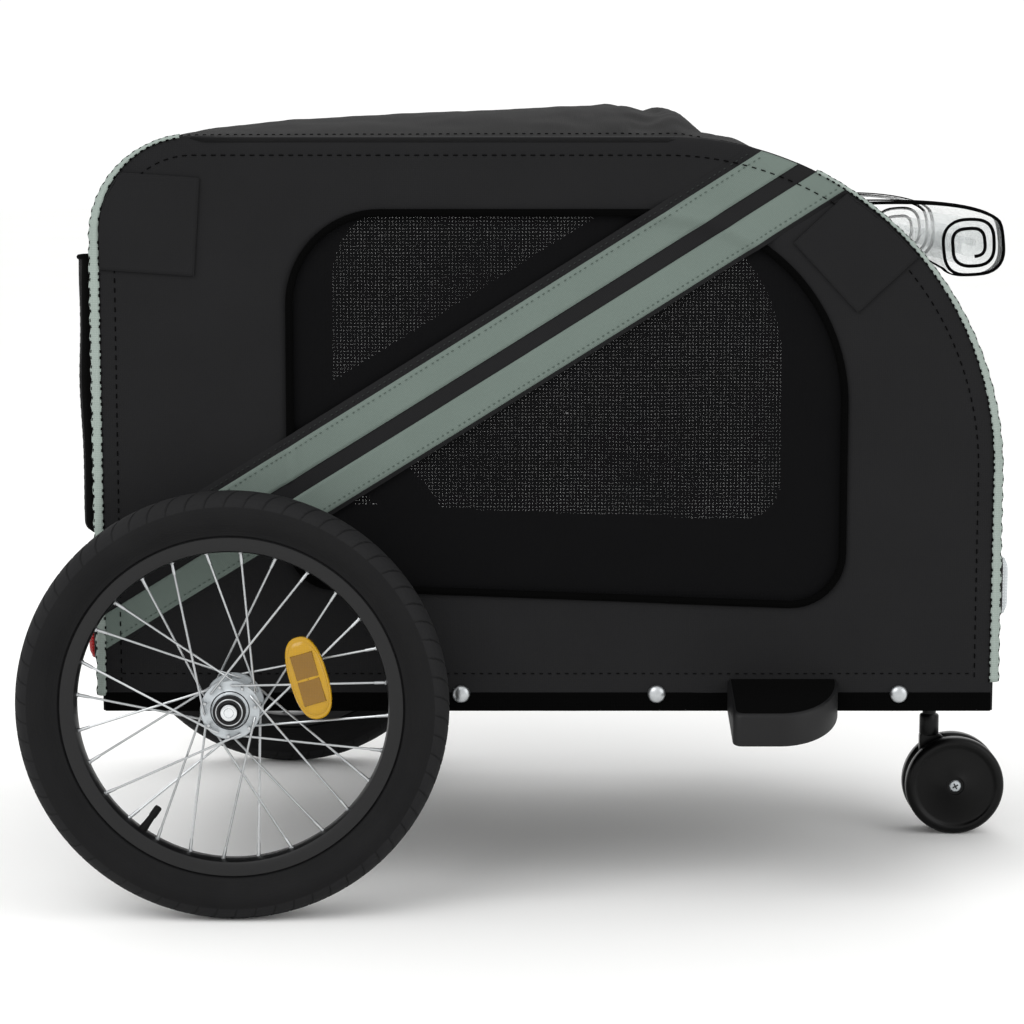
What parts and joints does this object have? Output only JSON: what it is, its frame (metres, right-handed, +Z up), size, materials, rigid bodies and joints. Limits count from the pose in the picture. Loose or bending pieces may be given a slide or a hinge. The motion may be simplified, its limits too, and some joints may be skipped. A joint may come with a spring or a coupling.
{
  "type": "dog bike trailer",
  "caption": "Dog bike trailer with a folding tube frame, a fabric cabin with mesh windows and doors, a rolled clear rain cover, spoked quick-release wheels and a swivelling front caster.",
  "frame": {"origin": "on the ground, under the middle of the overall length and width", "axes": "+X forward towards the caster, +Y to the trailer's left, +Z up"},
  "size_m": [0.969, 0.7506, 0.752],
  "materials": {
    "black_fabric": "woven, matt",
    "grey_fabric": "woven, matt",
    "mesh": "open net",
    "webbing": "woven tape",
    "clear_film": "clear, glossy",
    "black_frame": "satin powder coat",
    "steel": "plain",
    "chrome": "polished",
    "hub_alloy": "satin",
    "rim_alloy": "black anodised",
    "tyre": "matt",
    "valve_rubber": "matt",
    "black_plastic": "fine grain",
    "caster_plastic": "glossy",
    "amber": "prismatic",
    "clear_reflector": "prismatic",
    "red_reflector": "prismatic"
  },
  "bodies": {
    "chassis": {"side_rail_left": "black_frame", "side_rail_right": "black_frame", "front_cross_tube": "black_frame", "floor_cross_tubes": "black_frame", "axle_beam": "black_frame", "axle_sockets": "steel", "floor_board": "black_plastic", "frame_hinge_brackets": "black_frame", "side_deflectors": "black_plastic", "ridge_clips": "black_plastic", "side_panel_left": "black_fabric", "side_panel_right": "black_fabric", "side_windows": "mesh", "side_stripes": "grey_fabric", "corner_patches": "black_fabric", "hem_studs": "chrome", "edge_trims": "grey_fabric", "roof_panel": "black_fabric", "rear_panel": "black_fabric", "front_panel": "black_fabric", "rain_cover": "clear_film", "cover_straps": "webbing", "front_reflectors": "clear_reflector", "rear_reflectors": "red_reflector", "axle_left": "black_frame", "axle_right": "black_frame"},
    "wheel_left": {"tyre_left": "tyre", "valve_left": "valve_rubber", "rim_left": "rim_alloy", "spokes_left": "steel", "hub_left": "hub_alloy", "spoke_reflector_left": "amber"},
    "release_button_left": {"release_button_left": "chrome"},
    "side_frame_left": {"side_frame_left": "black_frame"},
    "rear_bow_left": {"rear_bow_left": "black_frame"},
    "front_bow_left": {"front_bow_left": "black_frame"},
    "caster_wheel_left": {"caster_wheel_left": "caster_plastic"},
    "wheel_right": {"tyre_right": "tyre", "valve_right": "valve_rubber", "rim_right": "rim_alloy", "spokes_right": "steel", "hub_right": "hub_alloy", "spoke_reflector_right": "amber"},
    "release_button_right": {"release_button_right": "chrome"},
    "side_frame_right": {"side_frame_right": "black_frame"},
    "rear_bow_right": {"rear_bow_right": "black_frame"},
    "front_bow_right": {"front_bow_right": "black_frame"},
    "caster_wheel_right": {"caster_wheel_right": "caster_plastic"},
    "caster_swivel": {"caster_body": "black_plastic", "caster_axle": "steel"},
    "rear_door": {"rear_door": "black_fabric", "rear_pocket": "black_fabric"},
    "front_door": {"front_door": "mesh"}
  },
  "joints": [
    {"name": "wheel_left_spin", "type": "hinge", "parent": "chassis", "child": "wheel_left", "pos_m": [-0.2845, 0.34, 0.2], "axis": [0, 1, 0], "continuous": true},
    {"name": "release_button_left_press", "type": "slide", "parent": "chassis", "child": "release_button_left", "axis": [0, -1, 0], "range_m": [0, 0.003], "stiffness_N_per_m": 600, "springref_m": -0.004},
    {"name": "side_frame_left_fold", "type": "hinge", "parent": "chassis", "child": "side_frame_left", "pos_m": [0, 0.2675, 0.2645], "axis": [1, 0, 0], "range_deg": [0, 90]},
    {"name": "rear_bow_left_swing", "type": "hinge", "parent": "side_frame_left", "child": "rear_bow_left", "pos_m": [-0.25225, 0.2675, 0.678], "axis": [1, 0, 0], "range_deg": [0, 104]},
    {"name": "front_bow_left_swing", "type": "hinge", "parent": "side_frame_left", "child": "front_bow_left", "pos_m": [0.079, 0.2675, 0.678], "axis": [1, 0, 0], "range_deg": [0, 104]},
    {"name": "caster_wheel_left_spin", "type": "hinge", "parent": "caster_swivel", "child": "caster_wheel_left", "pos_m": [0.4335, 0, 0.051], "axis": [0, 1, 0], "continuous": true},
    {"name": "wheel_right_spin", "type": "hinge", "parent": "chassis", "child": "wheel_right", "pos_m": [-0.2845, -0.34, 0.2], "axis": [0, 1, 0], "continuous": true},
    {"name": "release_button_right_press", "type": "slide", "parent": "chassis", "child": "release_button_right", "axis": [0, 1, 0], "range_m": [0, 0.003], "stiffness_N_per_m": 600, "springref_m": -0.004},
    {"name": "side_frame_right_fold", "type": "hinge", "parent": "chassis", "child": "side_frame_right", "pos_m": [0, -0.2675, 0.2885], "axis": [-1, 0, 0], "range_deg": [0, 90]},
    {"name": "rear_bow_right_swing", "type": "hinge", "parent": "side_frame_right", "child": "rear_bow_right", "pos_m": [-0.23025, -0.2675, 0.678], "axis": [-1, 0, 0], "range_deg": [0, 104]},
    {"name": "front_bow_right_swing", "type": "hinge", "parent": "side_frame_right", "child": "front_bow_right", "pos_m": [0.101, -0.2675, 0.678], "axis": [-1, 0, 0], "range_deg": [0, 104]},
    {"name": "caster_wheel_right_spin", "type": "hinge", "parent": "caster_swivel", "child": "caster_wheel_right", "pos_m": [0.4335, 0, 0.051], "axis": [0, 1, 0], "continuous": true},
    {"name": "caster_swivel_turn", "type": "hinge", "parent": "chassis", "child": "caster_swivel", "pos_m": [0.408, 0, 0.15], "axis": [0, 0, 1], "continuous": true},
    {"name": "rear_door_open", "type": "hinge", "parent": "chassis", "child": "rear_door", "pos_m": [-0.411, 0, 0.2453], "axis": [0, 1, 0], "range_deg": [-100, 0]},
    {"name": "front_door_open", "type": "hinge", "parent": "chassis", "child": "front_door", "pos_m": [0.424, 0, 0.2453], "axis": [0, -1, 0], "range_deg": [-100, 0]}
  ],
  "couplings": [
    {"joint": "rear_bow_left_swing", "follows": "side_frame_left_fold", "ratio": 1.11},
    {"joint": "front_bow_left_swing", "follows": "side_frame_left_fold", "ratio": 1.14},
    {"joint": "rear_bow_right_swing", "follows": "side_frame_right_fold", "ratio": 1.11},
    {"joint": "front_bow_right_swing", "follows": "side_frame_right_fold", "ratio": 1.14}
  ]
}
